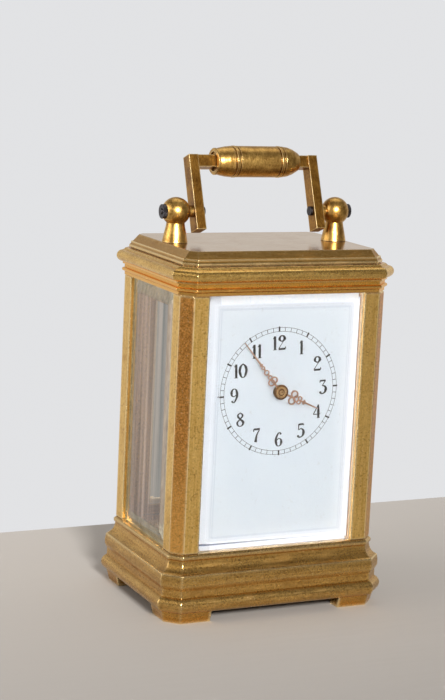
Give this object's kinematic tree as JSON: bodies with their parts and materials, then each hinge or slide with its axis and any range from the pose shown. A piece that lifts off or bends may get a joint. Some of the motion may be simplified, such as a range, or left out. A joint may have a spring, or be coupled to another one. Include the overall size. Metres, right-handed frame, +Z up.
{
  "type": "carriage clock",
  "caption": "Miniature brass carriage clock with moulded case, bevelled panes, folding handle, rear door and a geared movement with a lever platform.",
  "frame": {"origin": "under the middle of the base, on the plane the feet stand on", "axes": "+Z up, dial faces -Y, +X to the right seen from the dial"},
  "size_m": [0.0524, 0.0392, 0.0968],
  "materials": {
    "case_brass": "satin, slightly tarnished",
    "polished_brass": "polished",
    "movement_brass": "fine brushed",
    "gilt": "gilt",
    "glass": "clear, bevelled and polished",
    "enamel": "glossy fired enamel",
    "steel": "polished",
    "dark_steel": "blued"
  },
  "bodies": {
    "case": {"base_moulding": "case_brass", "column_front_left": "case_brass", "column_front_right": "case_brass", "column_back_left": "case_brass", "column_back_right": "case_brass", "cornice": "case_brass", "top_moulding": "case_brass", "front_glass": "glass", "left_glass": "glass", "right_glass": "glass", "case_screws": "steel", "movement_screws": "steel", "handle_post_left": "polished_brass", "handle_post_right": "polished_brass", "handle_screws": "dark_steel", "handle_nuts": "dark_steel", "dial": "enamel", "minute_stud": "steel", "front_plate": "movement_brass", "back_plate": "movement_brass", "plate_pillars": "movement_brass", "plate_screws": "dark_steel", "click_spring": "dark_steel", "platform": "movement_brass", "platform_screws": "dark_steel", "pallet_cock": "gilt", "balance_cock": "gilt", "potence": "movement_brass", "hairspring": "dark_steel"},
    "third": {"third_arbor": "steel", "third_wheel": "movement_brass"},
    "centre": {"centre_arbor": "steel", "centre_wheel": "movement_brass", "cannon_pinion": "steel", "minute_hand": "gilt", "hand_collet": "polished_brass"},
    "barrel": {"barrel_drum": "movement_brass", "barrel_cover": "movement_brass", "mainspring": "dark_steel"},
    "minute_work": {"minute_wheel": "movement_brass"},
    "hour": {"hour_wheel": "movement_brass", "hour_hand": "gilt"},
    "contrate": {"contrate_arbor": "steel", "contrate_wheel": "movement_brass"},
    "escape": {"escape_arbor": "steel", "escape_wheel": "movement_brass"},
    "winding": {"barrel_arbor": "steel", "ratchet_wheel": "steel"},
    "click": {"click": "steel"},
    "lever": {"lever": "steel"},
    "balance": {"balance_wheel": "gilt", "balance_staff": "steel"},
    "regulator": {"regulator": "steel"},
    "handle": {"handle_arm_left": "polished_brass", "handle_arm_right": "polished_brass", "handle_grip": "polished_brass"},
    "door": {"door_frame": "case_brass", "door_glass": "glass", "door_knob": "polished_brass", "door_pins": "steel"}
  },
  "joints": [
    {"name": "barrel_turn", "type": "hinge", "parent": "case", "child": "barrel", "pos_m": [-0.00347, -0.0058, 0.03529], "axis": [0, 1, 0], "continuous": true},
    {"name": "third_wheel_turn", "type": "hinge", "parent": "case", "child": "third", "pos_m": [0.00687, 0.0005, 0.04159], "axis": [0, 1, 0], "continuous": true},
    {"name": "centre_turn", "type": "hinge", "parent": "case", "child": "centre", "pos_m": [0, -0.0012, 0.0474], "axis": [0, 1, 0], "continuous": true},
    {"name": "minute_wheel_turn", "type": "hinge", "parent": "case", "child": "minute_work", "pos_m": [0.0024, -0.0115, 0.04324], "axis": [0, 1, 0], "continuous": true},
    {"name": "hour_turn", "type": "hinge", "parent": "case", "child": "hour", "pos_m": [0, -0.0124, 0.0474], "axis": [0, 1, 0], "continuous": true},
    {"name": "contrate_turn", "type": "hinge", "parent": "case", "child": "contrate", "pos_m": [0.0092, -0.0067, 0.0487], "axis": [0, 1, 0], "continuous": true},
    {"name": "escape_turn", "type": "hinge", "parent": "case", "child": "escape", "pos_m": [0.0092, -0.005, 0.0581], "axis": [0, 0, 1], "continuous": true},
    {"name": "winding_turn", "type": "hinge", "parent": "case", "child": "winding", "pos_m": [-0.00347, 0.006, 0.03529], "axis": [0, 1, 0], "continuous": true},
    {"name": "click_lift", "type": "hinge", "parent": "case", "child": "click", "pos_m": [-0.00967, 0.0038, 0.03889], "axis": [0, 1, 0], "range_deg": [0, 9]},
    {"name": "lever_swing", "type": "hinge", "parent": "case", "child": "lever", "pos_m": [0.00574, -0.005, 0.0582], "axis": [0, 0, 1], "range_deg": [-5, 5]},
    {"name": "balance_swing", "type": "hinge", "parent": "case", "child": "balance", "pos_m": [0.00089, -0.005, 0.0608], "axis": [0, 0, 1], "range_deg": [-270, 270]},
    {"name": "regulator_turn", "type": "hinge", "parent": "case", "child": "regulator", "pos_m": [0.00089, -0.005, 0.0635], "axis": [0, 0, 1], "range_deg": [-20, 20]},
    {"name": "handle_fold", "type": "hinge", "parent": "case", "child": "handle", "pos_m": [0, 0, 0.08335], "axis": [-1, 0, 0], "range_deg": [-126, 84]},
    {"name": "door_swing", "type": "hinge", "parent": "case", "child": "door", "pos_m": [0.01628, 0.0152, 0.041], "axis": [0, 0, -1], "range_deg": [0, 90]}
  ],
  "couplings": [
    {"joint": "centre_turn", "follows": "barrel_turn", "ratio": -6},
    {"joint": "third_wheel_turn", "follows": "barrel_turn", "ratio": 48},
    {"joint": "minute_wheel_turn", "follows": "barrel_turn", "ratio": 2},
    {"joint": "hour_turn", "follows": "barrel_turn", "ratio": -0.5},
    {"joint": "contrate_turn", "follows": "barrel_turn", "ratio": -360},
    {"joint": "escape_turn", "follows": "barrel_turn", "ratio": -2880}
  ]
}
